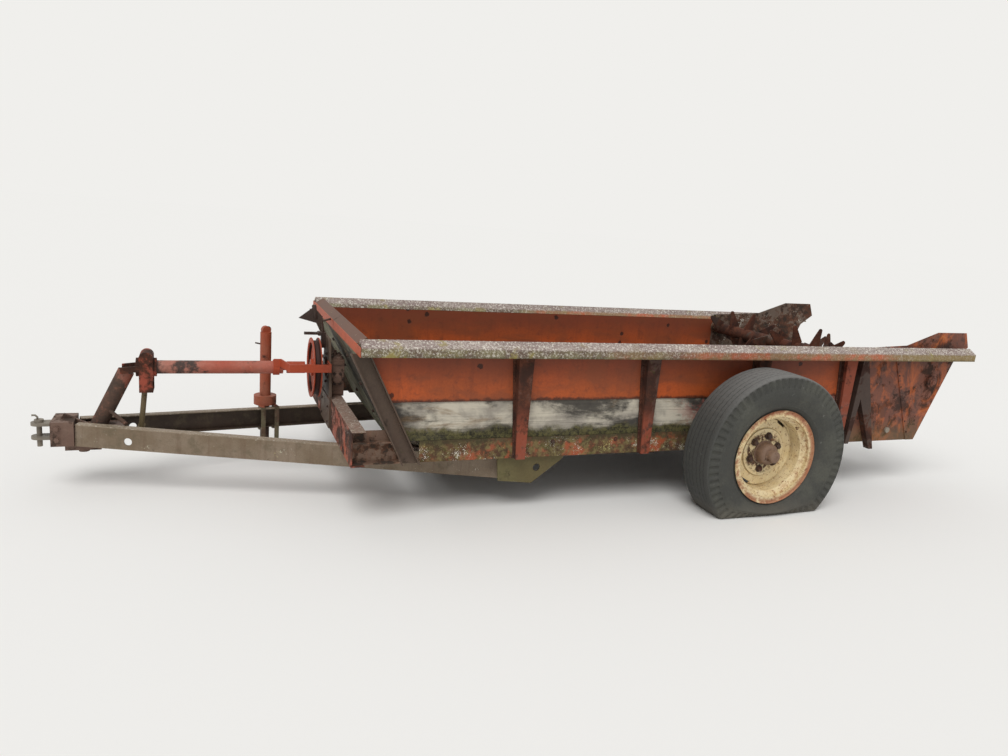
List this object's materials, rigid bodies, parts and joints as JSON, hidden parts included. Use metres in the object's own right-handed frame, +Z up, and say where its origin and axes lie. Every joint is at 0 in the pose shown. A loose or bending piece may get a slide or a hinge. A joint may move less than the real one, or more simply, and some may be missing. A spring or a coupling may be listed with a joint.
{
  "type": "manure spreader",
  "caption": "Towed farm manure spreader with a slanted front wall, open wooden box, apron chain, rear beaters, shielded driveline, jack and two flat tyres.",
  "frame": {"origin": "on the ground, under the middle of the machine's length and width", "axes": "+X to the rear, -X to the hitch, -Y to the machine's left side (the side in the picture), +Z up"},
  "size_m": [5.778, 2.2142, 1.067],
  "materials": {
    "rust_steel": "rusted, patches of old paint",
    "grey_steel": "dull, weathered",
    "bare_steel": "dull, worn",
    "dark_steel": "dark rust, matte",
    "orange_paint": "faded, chipped and rusty",
    "red_paint": "faded and rusty",
    "lichened_steel": "faded paint with lichen",
    "cream_paint": "faded, rust at the bolts",
    "weathered_wood": "grey, bare",
    "tyre_rubber": "worn, flat"
  },
  "bodies": {
    "spreader": {"drawbar_left": "rust_steel", "drawbar_right": "rust_steel", "drawbar_gussets": "grey_steel", "hitch_casting": "rust_steel", "hitch_clevis": "grey_steel", "hitch_pin": "bare_steel", "shield_post": "rust_steel", "shield_bracket": "red_paint", "bracket_rod": "dark_steel", "driveline_shield": "red_paint", "belt_guard": "orange_paint", "gearbox": "dark_steel", "gearbox_stand": "grey_steel", "front_bolster": "orange_paint", "corner_brackets": "rust_steel", "sill_left": "orange_paint", "sill_right": "orange_paint", "cross_members": "rust_steel", "floor_boards": "weathered_wood", "axle": "dark_steel", "apron_chain": "dark_steel", "apron_front_shaft": "bare_steel", "apron_rear_shaft": "bare_steel", "side_sheet_left": "orange_paint", "side_sheet_right": "orange_paint", "side_board_left": "weathered_wood", "side_board_right": "weathered_wood", "top_rail_left": "lichened_steel", "top_rail_right": "lichened_steel", "stakes_left": "rust_steel", "stakes_right": "rust_steel", "front_wall": "weathered_wood", "front_posts": "rust_steel", "front_rail": "lichened_steel", "control_levers": "dark_steel", "rear_plate_left": "rust_steel", "rear_plate_right": "rust_steel", "rear_braces": "rust_steel", "drive_case": "orange_paint", "side_drive": "dark_steel", "jack_tube": "orange_paint"},
    "driveline": {"driveline_shaft": "bare_steel"},
    "main_beater": {"main_beater": "dark_steel"},
    "upper_beater": {"upper_beater": "dark_steel"},
    "spreader_rotor": {"spreader_rotor": "dark_steel"},
    "jack_leg": {"jack_leg": "dark_steel"},
    "wheel_left": {"tyre_left": "tyre_rubber", "rim_left": "cream_paint", "hub_left": "rust_steel"},
    "wheel_right": {"tyre_right": "tyre_rubber", "rim_right": "cream_paint", "hub_right": "rust_steel"}
  },
  "joints": [
    {"name": "driveline_turn", "type": "hinge", "parent": "spreader", "child": "driveline", "pos_m": [-1.463, 0, 0.656], "axis": [1, 0, 0], "continuous": true},
    {"name": "main_beater_turn", "type": "hinge", "parent": "spreader", "child": "main_beater", "pos_m": [2.222, 0, 0.66], "axis": [0, 1, 0], "continuous": true},
    {"name": "upper_beater_turn", "type": "hinge", "parent": "spreader", "child": "upper_beater", "pos_m": [1.88, 0, 0.845], "axis": [0, 1, 0], "continuous": true},
    {"name": "spreader_rotor_turn", "type": "hinge", "parent": "spreader", "child": "spreader_rotor", "pos_m": [2.579, 0, 0.725], "axis": [0, 1, 0], "continuous": true},
    {"name": "wheel_left_turn", "type": "hinge", "parent": "spreader", "child": "wheel_left", "pos_m": [1.042, -0.965, 0.351], "axis": [0, 1, 0], "continuous": true},
    {"name": "wheel_right_turn", "type": "hinge", "parent": "spreader", "child": "wheel_right", "pos_m": [1.042, 0.965, 0.351], "axis": [0, 1, 0], "continuous": true},
    {"name": "jack_slide", "type": "slide", "parent": "spreader", "child": "jack_leg", "axis": [0, 0, 1], "range_m": [-0.15, 0.14]}
  ]
}
